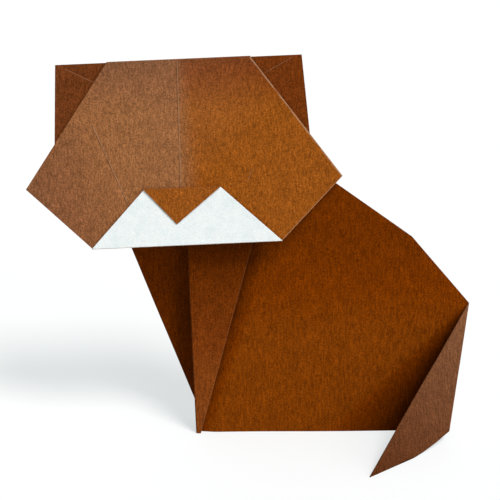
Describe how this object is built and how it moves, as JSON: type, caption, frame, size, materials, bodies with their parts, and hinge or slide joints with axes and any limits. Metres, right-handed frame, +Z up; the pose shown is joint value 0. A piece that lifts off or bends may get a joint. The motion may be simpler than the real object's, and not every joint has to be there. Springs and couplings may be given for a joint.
{
  "type": "origami cat",
  "caption": "Sitting cat folded from one sheet of brown and white paper, with a white muzzle, a folded-down nose and a tail swung round to one side.",
  "frame": {"origin": "bottom centre of the cat's box, on the table it stands on", "axes": "+Z up, +X along the back from chest to tail, the face looks towards -Y"},
  "size_m": [0.1248, 0.036, 0.1119],
  "materials": {
    "brown_paper": "matt"
  },
  "bodies": {
    "root": {"folded_sheet": "brown_paper"}
  },
  "joints": []
}
